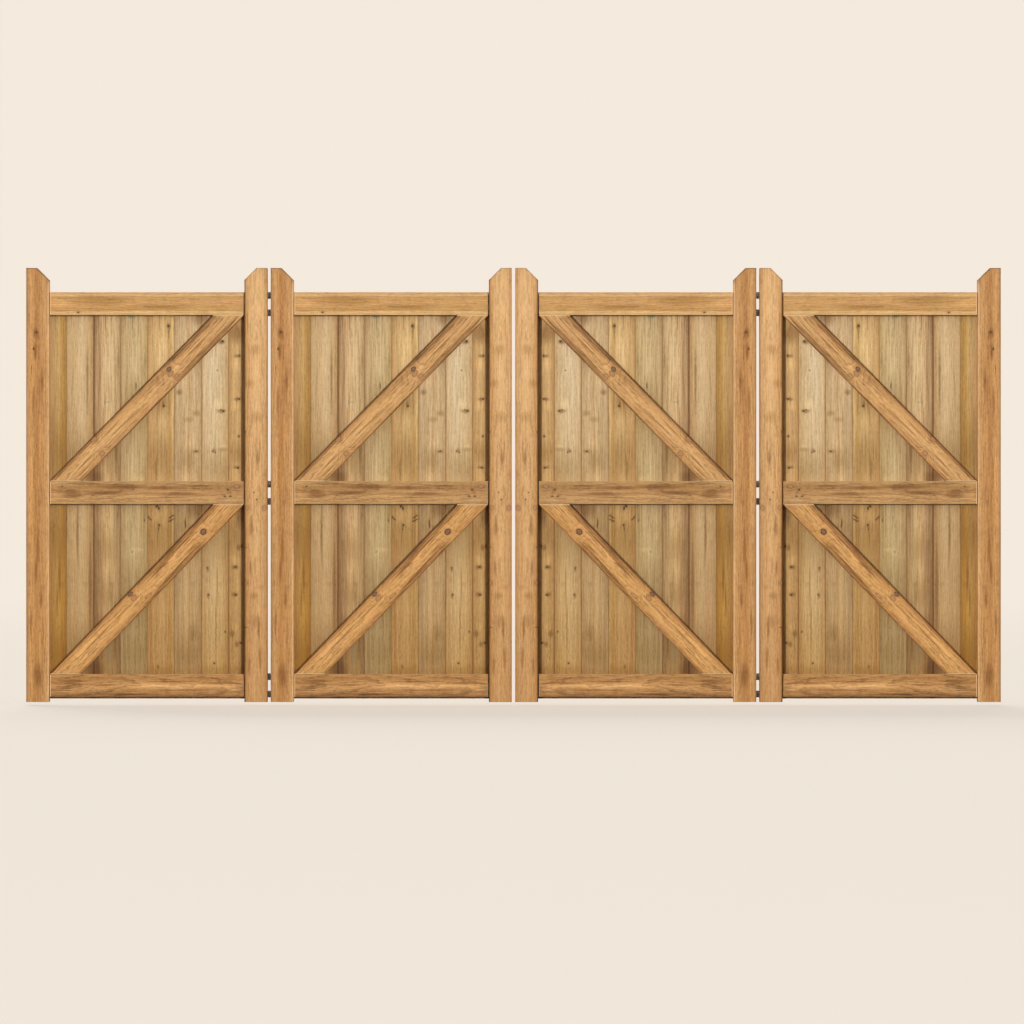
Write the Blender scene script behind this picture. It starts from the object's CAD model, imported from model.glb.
"""Dresses the bi-fold driveway gate: four pine leaves, their galvanised ironmongery and the studio.

Leaf coordinates are used for all timber: X runs in from the leaf's outer edge, Y back from its braced
face and Z up from its foot, in metres. Leaves 3 and 4 are leaves 2 and 1 mirrored.
"""

import logging
import math
from dataclasses import dataclass, field
from enum import Enum
from functools import partial
from itertools import product
from typing import Callable, Optional, Union

import bmesh
import bpy
from mathutils import Matrix, Vector, noise


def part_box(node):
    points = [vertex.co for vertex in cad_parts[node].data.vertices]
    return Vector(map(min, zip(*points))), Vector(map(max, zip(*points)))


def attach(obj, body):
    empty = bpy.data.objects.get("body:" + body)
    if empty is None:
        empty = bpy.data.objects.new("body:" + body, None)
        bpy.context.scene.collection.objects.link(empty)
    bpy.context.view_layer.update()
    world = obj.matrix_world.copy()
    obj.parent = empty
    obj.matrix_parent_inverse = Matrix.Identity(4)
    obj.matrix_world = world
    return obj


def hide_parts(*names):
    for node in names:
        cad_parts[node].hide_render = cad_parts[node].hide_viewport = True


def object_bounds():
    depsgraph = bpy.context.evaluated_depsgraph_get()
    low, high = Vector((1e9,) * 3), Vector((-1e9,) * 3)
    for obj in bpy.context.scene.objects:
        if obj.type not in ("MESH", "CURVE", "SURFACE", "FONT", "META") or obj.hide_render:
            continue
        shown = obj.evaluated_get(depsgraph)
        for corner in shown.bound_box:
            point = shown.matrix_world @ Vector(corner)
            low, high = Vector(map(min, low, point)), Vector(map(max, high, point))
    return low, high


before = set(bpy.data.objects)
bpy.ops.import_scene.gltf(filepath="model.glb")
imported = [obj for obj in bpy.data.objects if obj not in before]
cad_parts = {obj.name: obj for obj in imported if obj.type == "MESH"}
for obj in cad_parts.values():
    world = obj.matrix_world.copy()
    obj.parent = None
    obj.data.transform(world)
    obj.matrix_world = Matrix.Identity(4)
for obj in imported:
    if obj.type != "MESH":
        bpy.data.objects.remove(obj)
CAD_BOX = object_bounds()

LOG = logging.getLogger("gate")
Colour = tuple[int, int, int]
Stops = tuple[tuple[float, Colour], ...]
Pair = tuple[float, float]
Triple = tuple[float, float, float]
Shade = tuple[float, float, float, float]
Spot = tuple[float, float, float, float]
Span = tuple[float, float, float, float]
Node = bpy.types.Node
Socket = bpy.types.NodeSocket
Feed = Union[Socket, float, Triple, Shade]
Mesh = bmesh.types.BMesh
Piece = bpy.types.Object
Test = Callable[[Vector], bool]


def linear(colour: Colour) -> Shade:
    """Turns a written screen colour into the linear one that a shader takes.

    Args:
        colour: red, green and blue from 0 to 255.

    Returns:
        Linear red, green, blue and an alpha of 1.
    """
    parts = [c / 255 for c in colour]
    red, green, blue = (c / 12.92 if c <= 0.04045 else ((c + 0.055) / 1.055) ** 2.4 for c in parts)
    return red, green, blue, 1.0


# Finishes


class Sketch:
    """Short calls that add nodes to one node tree."""

    def __init__(self, tree: bpy.types.NodeTree) -> None:
        """Keeps the tree that the nodes go into."""
        self.tree = tree

    def feed(self, socket: Socket, value: Feed) -> None:
        """Links a socket to another one, or sets its value.

        Args:
            socket: the input.
            value: the socket that it is linked to, or its value.
        """
        if isinstance(value, Socket):
            self.tree.links.new(value, socket)
        else:
            socket.default_value = value

    def node(self, kind: str, *values: Feed, **settings: object) -> Node:
        """Adds a node.

        Args:
            kind: Blender's name for the node, after ShaderNode.
            values: what its first inputs take, in order.
            settings: the node's own settings.

        Returns:
            The new node.
        """
        made = self.tree.nodes.new(f"ShaderNode{kind}")
        for name, value in settings.items():
            setattr(made, name, value)
        for socket, value in zip(made.inputs, values):
            self.feed(socket, value)
        return made

    def fill(self, node: Node, inputs: dict[str, Feed]) -> Node:
        """Feeds a node's inputs by name.

        Args:
            node: the node.
            inputs: what each named input takes.

        Returns:
            The node.
        """
        for name, value in inputs.items():
            self.feed(node.inputs[name], value)
        return node

    def math(self, operation: str, *values: Feed) -> Socket:
        """Adds a Math node with these inputs and gives its result."""
        return self.node("Math", *values, operation=operation).outputs[0]

    def vector(self, operation: str, *values: Feed) -> Socket:
        """Adds a Vector Math node with these inputs and gives its result."""
        made = self.node("VectorMath", *values, operation=operation)
        return made.outputs[1 if operation == "LENGTH" else 0]

    def parts(self, value: Socket) -> list[Socket]:
        """Splits a vector into its three numbers."""
        return list(self.node("SeparateXYZ", value).outputs)

    def attribute(self, name: str, output: str) -> Socket:
        """Reads one of the mesh's own attributes."""
        return self.node("Attribute", attribute_name=name).outputs[output]

    def noise(self, place: Feed, scale: Triple, detail: float, rough: float, swing: bool = False) -> Socket:
        """Adds a noise.

        Args:
            place: where to read it.
            scale: changes per unit of place, along each axis.
            detail: number of finer layers.
            rough: strength of the finer layers.
            swing: whether to give a vector that swings about 0.

        Returns:
            That vector, or else a number around 0.5.
        """
        made = self.fill(self.node("TexNoise"), {
            "Vector": self.vector("MULTIPLY", place, scale), "Scale": 1.0,
            "Detail": detail, "Roughness": rough})
        if swing:
            return self.vector("SUBTRACT", made.outputs[1], (0.5, 0.5, 0.5))
        return made.outputs[0]

    def ramp(self, factor: Socket, stops: tuple[tuple[float, Shade], ...], turn: str = "LINEAR") -> Socket:
        """Adds a colour ramp.

        Args:
            factor: the place on the ramp, from 0 to 1.
            stops: pairs of a place and a linear colour.
            turn: Blender's name for how the colours turn into each other.

        Returns:
            The ramp's colour.
        """
        made = self.node("ValToRGB", factor)
        band = made.color_ramp
        band.interpolation = turn
        while len(band.elements) < len(stops):
            band.elements.new(0.5)
        for element, (place, colour) in zip(band.elements, stops):
            element.position = place
            element.color = colour
        return made.outputs[0]

    def tones(self, factor: Socket, stops: Stops, turn: str = "LINEAR") -> Socket:
        """Adds a ramp of screen colours and gives its colour."""
        return self.ramp(factor, tuple((at, linear(colour)) for at, colour in stops), turn)

    def blend(self, factor: Feed, first: Feed, second: Feed, mode: str = "MIX") -> Socket:
        """Adds a mix of two colours.

        Args:
            factor: share of the second colour, from 0 to 1.
            first: the first colour.
            second: the second colour.
            mode: Blender's name for how they are mixed.

        Returns:
            The mixed colour.
        """
        made = self.node("Mix", factor, data_type="RGBA", blend_type=mode)
        self.feed(made.inputs[6], first)
        self.feed(made.inputs[7], second)
        return made.outputs[2]

    def tint(self, colour: Socket, mask: Socket, tint: Triple) -> Socket:
        """Multiplies a colour by a tint where a mask is set."""
        return self.blend(mask, colour, self.blend(1.0, colour, (*tint, 1.0), "MULTIPLY"))

    def span(self, value: Socket, low: float, high: float, start: float = 0.0, end: float = 1.0) -> Socket:
        """Eases from start to end while a value runs from low to high."""
        made = self.node("MapRange", value, low, high, start, end, interpolation_type="SMOOTHSTEP")
        return made.outputs[0]

    def bump(self, height: Socket, strength: float, depth: float) -> Socket:
        """Adds a bump of a strength and a depth, and gives its normal."""
        inputs = {"Strength": strength, "Distance": depth, "Height": height}
        return self.fill(self.node("Bump"), inputs).outputs[0]


def new_material(name: str) -> tuple[bpy.types.Material, Sketch, Node]:
    """Makes a material.

    Args:
        name: the material's name.

    Returns:
        The material, its nodes and its surface shader.
    """
    made = bpy.data.materials.new(name)
    made.use_nodes = True
    return made, Sketch(made.node_tree), made.node_tree.nodes["Principled BSDF"]


MARK_FADE = 110.0


class MarkKind(Enum):
    """The natural marks that a plank can carry."""

    KNOT = "dark ringed knot"
    EYE = "pale knot with a brown rim"
    PIN = "pin knot, slash or crack"
    STAIN = "soft brown patch"
    WANE = "dark band along an edge"
    PALE = "soft pale patch"
    SMEAR = "green smear of timber treatment"
    DUSK = "broad faint darkening"

    @property
    def fade(self) -> float:
        """Gives how fast the mark is lost below the face, per metre; knots go right through."""
        return 0.0 if self in (MarkKind.KNOT, MarkKind.EYE, MarkKind.PIN) else MARK_FADE


@dataclass(frozen=True)
class Mark:
    """A mark on a plank's face: its place on the leaf and its half sizes along and across the grain."""

    kind: MarkKind
    x: float
    z: float
    along: float
    across: float


def marks(kind: MarkKind, *spots: Spot) -> tuple[Mark, ...]:
    """Gives marks of one kind.

    Args:
        kind: the kind of all of them.
        spots: place across and up the leaf, then half sizes along and across the grain, in millimetres.

    Returns:
        The marks, in metres.
    """
    return tuple(Mark(kind, *(value / 1000 for value in spot)) for spot in spots)


knots, eyes, pins, stains, wanes, pales, smears, dusks = (partial(marks, kind) for kind in MarkKind)


@dataclass(frozen=True)
class MarkLook:
    """How a kind of mark shows: its halo tints the timber and its core covers it.

    A halo or core has the distance where it starts to fade, the one where it is gone, both in mark sizes,
    and its strength.
    """

    kind: MarkKind
    halo: Optional[Triple] = None
    tint: Triple = (1.0, 1.0, 1.0)
    core: Optional[Triple] = None
    stops: Stops = ()


MARK_LOOKS = (
    MarkLook(MarkKind.DUSK, (0.0, 1.5, 1.0), (0.74, 0.69, 0.58)),
    MarkLook(MarkKind.PALE, (0.0, 1.5, 0.9), (1.20, 1.21, 1.22)),
    MarkLook(MarkKind.STAIN, (0.25, 1.25, 0.9), (0.58, 0.50, 0.40)),
    MarkLook(MarkKind.WANE, (0.72, 1.14, 1.0), (0.52, 0.47, 0.40)),
    MarkLook(MarkKind.SMEAR, core=(0.1, 1.2, 0.7), stops=((0.0, (112, 132, 104)),)),
    MarkLook(MarkKind.EYE, (0.9, 2.2, 0.4), (0.72, 0.62, 0.50), (0.7, 1.3, 0.75),
             ((0.0, (128, 90, 62)), (0.22, (182, 134, 92)), (0.5, (176, 128, 86)),
              (0.72, (116, 80, 52)), (0.92, (152, 108, 68)))),
    MarkLook(MarkKind.KNOT, (0.9, 2.4, 0.5), (0.70, 0.58, 0.44), (0.9, 1.2, 0.92),
             ((0.0, (84, 60, 52)), (0.25, (134, 100, 78)), (0.5, (118, 84, 64)),
              (0.74, (46, 32, 30)), (0.92, (104, 70, 46)))),
    MarkLook(MarkKind.PIN, (0.8, 2.6, 0.5), (0.66, 0.58, 0.46), (0.55, 1.15, 0.85), ((0.0, (58, 44, 34)),)),
)


Near = dict[MarkKind, Optional[Socket]]


class Figure(Enum):
    """Layers of a plank's figure: changes per metre along and across it, finer layers, their strength."""

    SWAY = (1.3, 4.0, 2.0, 0.5)
    WAVE = (9.0, 40.0, 2.0, 0.6)
    SHAKE = (60.0, 130.0, 3.0, 0.6)
    HAIR = (26.0, 330.0, 2.0, 0.6)
    FLECK = (62.0, 150.0, 2.0, 0.6)
    FIBRE = (9.0, 180.0, 2.0, 0.6)
    STREAK = (3.0, 80.0, 3.0, 0.6)
    CLOUD = (11.0, 27.0, 3.0, 0.62)

    def read(self, sketch: Sketch, place: Socket, swing: bool = False) -> Socket:
        """Gives the layer at a place in the plank, as Sketch.noise does."""
        along, across, detail, rough = self.value
        return sketch.noise(place, (along, across, across), detail, rough, swing)


@dataclass(frozen=True)
class RingLay:
    """How a plank was sawn from the log: where the heart lies behind its face, and its growth rings."""

    across: float = 0.0
    depth: float = 0.06
    lean: float = 0.0
    rise: float = 0.0
    rings: float = 230.0
    wander: float = 0.006


RING_SWAY = 3
RING_WAVE = 1.6
BAND_PACE = (0.31, 1.4, 1.0)
BAND_LAYERS = (3.0, 0.6)
KNOT_REACH = 0.42
KNOT_PUSH = 2.6
LATE_WOOD = ((0.0, 0.0), (0.5, 0.12), (0.84, 0.85), (0.94, 1.0), (1.0, 0.0))
LATE_MEAN = 0.33
LATE_DIP = -0.5
LOW_TONE = (0.43, 0.37, 0.25, 1.0)
MIDDLE_TONE = (1.0, 1.0, 0.97, 1.0)
HIGH_TONE = (1.36, 1.46, 1.58, 1.0)
SMUDGE = (0.62, 0.52, 0.40)
SMUDGED = (0.52, 0.72)
RIM_DIRT = (0.50, 0.38, 0.26)
RIM_START = 0.007
RIM_END = 0.0015
ARRIS_LEVELS = (0.5, 1.5)
RUBBED_PINE = (242, 212, 166)
RUB_PATCHES = (0.3, 0.6)
RUB_LEAST = 0.7
END_GRAIN = (0.32, 0.24, 0.16)
END_SHARE = 0.92
MARK_SHAKE = (0.012, 0.007, 0.0)
MARK_RIM = 0.8
WANE_FRAY = 1.4
WANE_FIBRE = (0.38, 0.68, 1.0, 0.45)
PINE_GLOSS = 0.3
PINE_ROUGH = (0.4, 1.3, 0.62, 0.84)
PINE_BUMP = (0.4, 0.0008)


@dataclass(frozen=True)
class PineFinish:
    """Planed and treated pine: tones across the plank, growth rings, fibres, marks and worn edges."""

    name: str
    slot: str
    tones: Stops
    lay: RingLay
    foot: Triple
    head: Triple
    marks: tuple[Mark, ...]
    vivid: float = 1.0
    late: float = 0.2
    band: float = 0.5
    cloud: float = 0.45
    streak: float = 0.3
    fibre: float = 0.9
    fleck: float = 0.6
    hair: float = 0.8
    smudge: float = 0.2
    ragged: float = 0.2
    edges: Pair = (0.0, 0.0)
    worn: Pair = (0.0, 0.0)

    def nearest(self, sketch: Sketch, place: Socket, plank: "Plank", kind: MarkKind) -> Optional[Socket]:
        """Measures how far each point lies from the nearest mark of a kind, in mark sizes.

        Args:
            sketch: the material's nodes.
            place: the point along, across and into the plank.
            plank: the plank that carries the marks.
            kind: the kind of mark.

        Returns:
            The distance, 1 at a mark's rim, or nothing where the plank has no such mark.
        """
        found = None
        for mark in self.marks:
            if mark.kind is not kind:
                continue
            off = sketch.vector("SUBTRACT", place, (*plank.on_face(mark.x, mark.z), 0.0))
            shaped = sketch.vector("MULTIPLY", off, (1 / mark.along, 1 / mark.across, kind.fade))
            reach = sketch.vector("LENGTH", shaped)
            found = reach if found is None else sketch.math("MINIMUM", found, reach)
        return found

    def rings(self, sketch: Sketch, grain: Socket, near: Near) -> tuple[Socket, Socket, Socket]:
        """Draws the growth rings as they meet the plank's surface.

        Args:
            sketch: the material's nodes.
            grain: the point along, across and into the plank.
            near: the distance to the nearest mark of each kind; the rings flow round knots.

        Returns:
            The dark late wood, the broad bands of rings, and the point with its wander.
        """
        lay = self.lay
        wander = RING_SWAY * lay.wander
        sway = Figure.SWAY.read(sketch, grain, True)
        bent = sketch.vector("MULTIPLY_ADD", sway, (0.0, wander, wander), grain)
        along = sketch.parts(grain)[0]
        slant, start = (0.0, lay.lean, -lay.rise), (0.0, lay.across, -lay.depth)
        heart = sketch.vector("MULTIPLY_ADD", along, slant, start)
        out = sketch.vector("MULTIPLY", sketch.vector("SUBTRACT", bent, heart), (0.0, 1.0, 1.0))
        phase = sketch.math("MULTIPLY", sketch.vector("LENGTH", out), lay.rings)
        phase = sketch.math("MULTIPLY_ADD", Figure.WAVE.read(sketch, grain), RING_WAVE, phase)
        flow = None
        for reach in (near[MarkKind.KNOT], near[MarkKind.EYE]):
            if reach is not None:
                close = sketch.math("POWER", sketch.math("MULTIPLY", reach, KNOT_REACH), 2.0)
                push = sketch.math("EXPONENT", sketch.math("MULTIPLY", close, -1.0))
                flow = push if flow is None else sketch.math("MAXIMUM", flow, push)
        if flow is not None:
            phase = sketch.math("MULTIPLY_ADD", flow, KNOT_PUSH, phase)
        dark = tuple((at, (level, level, level, 1.0)) for at, level in LATE_WOOD)
        late = sketch.ramp(sketch.math("FRACT", phase), dark)
        spread = sketch.node("CombineXYZ", phase, along, 2.0).outputs[0]
        return late, sketch.noise(spread, BAND_PACE, *BAND_LAYERS), bent

    def colours(self, sketch: Sketch, plank: "Plank") -> tuple[Socket, Socket]:
        """Works out the plank's colour and the height of its surface.

        Args:
            sketch: the material's nodes.
            plank: the plank that the finish goes on.

        Returns:
            The colour and the height.
        """
        grain = sketch.attribute("grain", "Vector")
        place = sketch.vector("MULTIPLY_ADD", Figure.SHAKE.read(sketch, grain, True), MARK_SHAKE, grain)
        near = {kind: self.nearest(sketch, place, plank, kind) for kind in MarkKind}
        late, band, bent = self.rings(sketch, grain, near)
        hair = Figure.HAIR.read(sketch, grain)
        fleck = Figure.FLECK.read(sketch, grain)
        fibre = Figure.FIBRE.read(sketch, bent)
        streak = Figure.STREAK.read(sketch, bent)
        cloud = Figure.CLOUD.read(sketch, bent)

        rough = sketch.math("MULTIPLY_ADD", cloud, 0.5, sketch.math("MULTIPLY", streak, 0.5))
        side = sketch.math("MULTIPLY_ADD", sketch.parts(bent)[1], 1 / plank.width, 0.5 - self.ragged / 2)
        side = sketch.math("MULTIPLY_ADD", rough, self.ragged, side)
        base = sketch.tones(side, self.tones, "EASE")

        dark = self.late * self.vivid
        tone = sketch.math("MULTIPLY_ADD", late, -dark, 0.5 + dark * LATE_MEAN)
        for layer, weight in ((band, self.band), (cloud, self.cloud), (streak, self.streak),
                              (fibre, self.fibre), (fleck, self.fleck), (hair, self.hair)):
            share = weight * self.vivid
            tone = sketch.math("MULTIPLY_ADD", layer, share, sketch.math("SUBTRACT", tone, share / 2))
        shade = sketch.blend(sketch.math("MULTIPLY", tone, 2.0), LOW_TONE, MIDDLE_TONE)
        shade = sketch.blend(sketch.math("MULTIPLY_ADD", tone, 2.0, -1.0), shade, HIGH_TONE)
        colour = sketch.blend(1.0, base, shade, "MULTIPLY")

        rise = sketch.math("MULTIPLY", sketch.parts(grain)[0], 1 / plank.length)
        fall = sketch.blend(rise, (*self.foot, 1.0), (*self.head, 1.0))
        colour = sketch.blend(1.0, colour, fall, "MULTIPLY")
        colour = sketch.tint(colour, sketch.span(cloud, *SMUDGED, 0.0, self.smudge * 2), SMUDGE)
        colour = self.add_marks(sketch, colour, near, streak, fibre)
        colour = self.add_wear(sketch, colour, grain, cloud, plank.width / 2)
        return colour, sketch.math("MULTIPLY_ADD", late, LATE_DIP, sketch.math("ADD", hair, fibre))

    def add_marks(self, sketch: Sketch, colour: Socket, near: Near, streak: Socket, fibre: Socket) -> Socket:
        """Lays the plank's patches, smears, knots and pins over its colour.

        Args:
            sketch: the material's nodes.
            colour: the plank's colour so far.
            near: the distance to the nearest mark of each kind.
            streak: long streaks, which fray the dark edge bands.
            fibre: short fibres, which show pale through them.

        Returns:
            The colour with the marks on it.
        """
        for look in MARK_LOOKS:
            reach = near[look.kind]
            if reach is None:
                continue
            cover = 1.0
            if look.kind is MarkKind.WANE:
                frayed = sketch.math("SUBTRACT", reach, WANE_FRAY / 2)
                reach = sketch.math("MULTIPLY_ADD", streak, WANE_FRAY, frayed)
                cover = sketch.span(fibre, *WANE_FIBRE)
            if look.halo:
                mask = sketch.math("MULTIPLY", sketch.span(reach, *look.halo, 0.0), cover)
                colour = sketch.tint(colour, mask, look.tint)
            if look.core:
                core = linear(look.stops[0][1])
                if len(look.stops) > 1:
                    core = sketch.tones(sketch.math("MULTIPLY", reach, MARK_RIM), look.stops)
                colour = sketch.blend(sketch.span(reach, *look.core, 0.0), colour, core)
        return colour

    def add_wear(self, sketch: Sketch, colour: Socket, grain: Socket, cloud: Socket, half: float) -> Socket:
        """Adds dirt along the plank's edges, rubbed arrises and dark end grain.

        Args:
            sketch: the material's nodes.
            colour: the plank's colour so far.
            grain: the point along, across and into the plank.
            cloud: soft patches, which break up the rubbing.
            half: half of the plank's width.

        Returns:
            The colour with the wear on it.
        """
        for way, dirt in zip((-1.0, 1.0), self.edges):
            out = sketch.math("MULTIPLY", sketch.parts(grain)[1], way)
            rim = sketch.span(out, half - RIM_START, half - RIM_END, 0.0, dirt)
            colour = sketch.tint(colour, rim, RIM_DIRT)
        arris = sketch.attribute("arris", "Fac")
        for level, rub in zip(ARRIS_LEVELS, self.worn):
            there = sketch.math("GREATER_THAN", arris, level)
            rubbed = sketch.math("MULTIPLY", there, sketch.span(cloud, *RUB_PATCHES, rub * RUB_LEAST, rub))
            colour = sketch.blend(rubbed, colour, linear(RUBBED_PINE))
        end = sketch.math("MULTIPLY", sketch.attribute("endgrain", "Fac"), END_SHARE)
        return sketch.tint(colour, end, END_GRAIN)

    def material(self, plank: "Plank") -> bpy.types.Material:
        """Gives the finish's material, and makes it the first time.

        Args:
            plank: a plank that the finish goes on.

        Returns:
            The material.
        """
        made = bpy.data.materials.get(self.name)
        if made is None:
            made, sketch, surface = new_material(self.name)
            colour, height = self.colours(sketch, plank)
            sketch.fill(surface, {
                "Base Color": colour, "Roughness": sketch.span(height, *PINE_ROUGH),
                "Specular IOR Level": PINE_GLOSS, "Normal": sketch.bump(height, *PINE_BUMP)})
        return made


@dataclass(frozen=True)
class ZincFinish:
    """Hot dipped zinc on steel: pale grey with a faint spangle and duller patches."""

    name: str
    slot: str
    bright: Colour = (206, 209, 211)
    dull: Colour = (166, 170, 173)
    spangle: float = 170.0
    patches: Triple = (26.0, 26.0, 26.0)
    facets: float = 0.35
    blotch: Span = (0.35, 0.65, 0.0, 0.65)
    metal: float = 0.7
    rough: Span = (0.0, 1.0, 0.62, 0.42)
    dents: Pair = (0.2, 0.0004)

    def material(self) -> bpy.types.Material:
        """Gives the finish's material, and makes it the first time.

        Returns:
            The material.
        """
        made = bpy.data.materials.get(self.name)
        if made is None:
            made, sketch, surface = new_material(self.name)
            place = sketch.node("TexCoord").outputs["Object"]
            crystals = sketch.node("TexVoronoi", feature="F1")
            sketch.fill(crystals, {"Vector": place, "Scale": self.spangle})
            facet = sketch.parts(crystals.outputs["Color"])[0]
            patch = sketch.noise(place, self.patches, 4.0, 0.6)
            mixed = sketch.math("MULTIPLY_ADD", facet, self.facets, sketch.span(patch, *self.blotch))
            sketch.fill(surface, {
                "Base Color": sketch.blend(mixed, linear(self.dull), linear(self.bright)),
                "Metallic": self.metal, "Roughness": sketch.span(mixed, *self.rough),
                "Normal": sketch.bump(patch, *self.dents)})
        return made


ZINC = ZincFinish("galvanised_steel", "galvanised")
BOARD_PITCH = 112
SPLASH_SIDE = 4
SPLASH = (118, 40, 90)

# Finishes of the frame's planks, with their marks in millimetres on the leaf
OUTER_STILE = PineFinish(
    "pine_outer_stile", "pine_stile",
    ((0.0, (184, 132, 78)), (0.2, (202, 150, 94)), (0.42, (182, 128, 74)), (0.68, (190, 138, 84)),
     (0.94, (204, 154, 100))),
    RingLay(0.05, 0.03, 0.012, 0.0, 190, 0.007), (0.95, 0.92, 0.83), (1.03, 1.03, 1.03),
    stains((40, 1531, 26, 14), (38, 1455, 40, 9), (66, 1330, 60, 9), (30, 1250, 70, 8), (48, 640, 90, 8),
        (40, 545, 60, 7), (62, 430, 50, 7), (50, 110, 60, 22), (20, 330, 80, 6))
    + pins((31, 1465, 5, 4), (42, 1533, 4, 5), (22, 1380, 20, 1.4))
    + pales((60, 1090, 120, 10), (52, 250, 90, 12), (20, 900, 140, 8)),
    vivid=1.0, smudge=0.2, edges=(0.55, 0.0), worn=(0.25, 0.0))
INNER_STILE = PineFinish(
    "pine_inner_stile", "pine_stile",
    ((0.0, (176, 124, 74)), (0.1, (202, 152, 98)), (0.25, (214, 166, 112)), (0.5, (220, 174, 122)),
     (0.8, (212, 164, 110)), (1.0, (200, 150, 96))),
    RingLay(-0.02, 0.055, 0.02, 0.012, 150, 0.01), (0.79, 0.71, 0.58), (1.07, 1.08, 1.08),
    eyes((918, 806, 10, 8), (987, 804, 12, 10), (910, 496, 8, 7))
    + pins((909, 1119, 4, 3), (911, 310, 1.6, 9), (944, 869, 3, 3), (956, 840, 3, 3),
        (912, 640, 2.5, 2.5))
    + stains((960, 1010, 40, 8), (965, 300, 50, 7), (930, 560, 40, 6), (970, 180, 60, 8),
        (925, 150, 50, 6), (935, 730, 50, 8))
    + dusks((950, 1460, 22, 28), (928, 1320, 20, 18), (955, 1180, 26, 22), (955, 335, 30, 22),
        (945, 440, 16, 18)),
    vivid=0.8, smudge=0.2, edges=(0.65, 0.3), worn=(0.0, 0.0))
TOP_RAIL = PineFinish(
    "pine_top_rail", "pine_rail",
    ((0.0, (208, 166, 108)), (0.14, (212, 170, 112)), (0.2, (188, 142, 84)), (0.5, (200, 152, 94)),
     (0.8, (192, 146, 88)), (0.86, (212, 168, 110)), (1.0, (196, 150, 94))),
    RingLay(0.16, 0.05, 0.006, 0.0, 170, 0.003), (1.07, 1.07, 1.1), (1.07, 1.07, 1.1),
    pins((215, 1617, 7, 4))
    + smears((430, 1604, 26, 4))
    + dusks((300, 1665, 130, 22), (560, 1640, 120, 10))
    + pales((150, 1655, 50, 16)),
    vivid=0.85, late=0.3, smudge=0.08, ragged=0.06, edges=(0.1, 0.1), worn=(0.25, 0.85))
MIDDLE_RAIL = PineFinish(
    "pine_middle_rail", "pine_rail",
    ((0.0, (184, 140, 90)), (0.25, (188, 144, 94)), (0.5, (176, 130, 82)), (0.75, (166, 122, 74)),
     (1.0, (186, 144, 94))),
    RingLay(0.01, 0.045, 0.01, 0.035, 110, 0.012), (1.05, 1.05, 1.0), (1.03, 1.03, 1.0),
    pins((836, 880, 6, 5), (823, 854, 5, 4), (846, 854, 5, 4), (148, 895, 4, 3))
    + eyes((872, 894, 13, 8))
    + stains((400, 893, 120, 12), (560, 888, 90, 9), (330, 868, 90, 10), (640, 862, 90, 9),
        (720, 897, 50, 5), (190, 862, 40, 22), (250, 905, 80, 5))
    + pales((590, 874, 60, 6), (470, 852, 90, 6), (120, 868, 16, 38), (690, 874, 50, 5)),
    vivid=1.0, late=0.25, band=0.8, smudge=0.25, ragged=0.3, edges=(0.15, 0.2), worn=(0.2, 0.85))
BOTTOM_RAIL = PineFinish(
    "pine_bottom_rail", "pine_rail",
    ((0.0, (146, 102, 58)), (0.12, (172, 124, 74)), (0.45, (204, 154, 100)), (0.62, (186, 136, 82)),
     (0.78, (176, 126, 74)), (1.0, (190, 142, 88))),
    RingLay(0.0, 0.04, -0.01, 0.05, 90, 0.018), (0.91, 0.88, 0.79), (1.01, 1.0, 0.94),
    stains((600, 84, 130, 4), (800, 78, 100, 5), (200, 86, 60, 7), (160, 60, 50, 9), (420, 32, 150, 5),
        (330, 70, 70, 5), (700, 50, 80, 5))
    + pales((480, 66, 130, 6), (680, 66, 90, 6), (860, 60, 40, 18)),
    vivid=1.2, late=0.3, band=0.9, smudge=0.35, ragged=0.35, edges=(0.35, 0.25), worn=(0.2, 0.85))
UPPER_BRACE = PineFinish(
    "pine_upper_brace", "pine_brace",
    ((0.0, (180, 128, 78)), (0.12, (196, 144, 90)), (0.35, (206, 154, 100)), (0.6, (204, 152, 98)),
     (0.85, (193, 141, 87)), (1.0, (168, 120, 72))),
    RingLay(0.015, 0.04, 0.004, 0.02, 110, 0.012), (1.0, 1.04, 1.01), (1.0, 1.04, 1.01),
    knots((591, 1381, 11, 9))
    + eyes((622, 1352, 12, 8), (280, 1090, 15, 9), (313, 1031, 12, 11), (597, 1362, 14, 10))
    + wanes((691, 1509, 165, 14), (751, 1462, 190, 16), (470, 1300, 120, 6), (560, 1255, 110, 5),
        (200, 1010, 130, 6))
    + stains((420, 1170, 90, 5), (350, 1130, 60, 5), (700, 1470, 90, 4), (250, 1000, 60, 5))
    + pales((660, 1430, 110, 9), (480, 1240, 110, 8)),
    vivid=1.1, late=0.25, band=0.7, smudge=0.2, ragged=0.3, edges=(0.4, 0.95), worn=(0.0, 0.85))
LOWER_BRACE = PineFinish(
    "pine_lower_brace", "pine_brace",
    ((0.0, (178, 127, 74)), (0.12, (194, 142, 84)), (0.38, (209, 157, 98)), (0.62, (207, 155, 96)),
     (0.85, (195, 143, 86)), (1.0, (168, 118, 68))),
    RingLay(-0.01, 0.05, 0.002, 0.012, 110, 0.01), (1.01, 0.99, 0.9), (1.01, 0.99, 0.9),
    knots((734, 706, 13, 12), (431, 448, 12, 8))
    + eyes((446, 430, 14, 9), (505, 440, 18, 7))
    + wanes((640, 664, 225, 15), (624, 543, 185, 13))
    + stains((560, 560, 90, 5), (300, 270, 120, 5), (400, 370, 90, 5), (690, 640, 40, 8))
    + pales((620, 610, 130, 10), (260, 250, 110, 8)),
    vivid=1.1, late=0.25, band=0.7, smudge=0.2, ragged=0.3, edges=(0.4, 0.95), worn=(0.0, 0.85))


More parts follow.
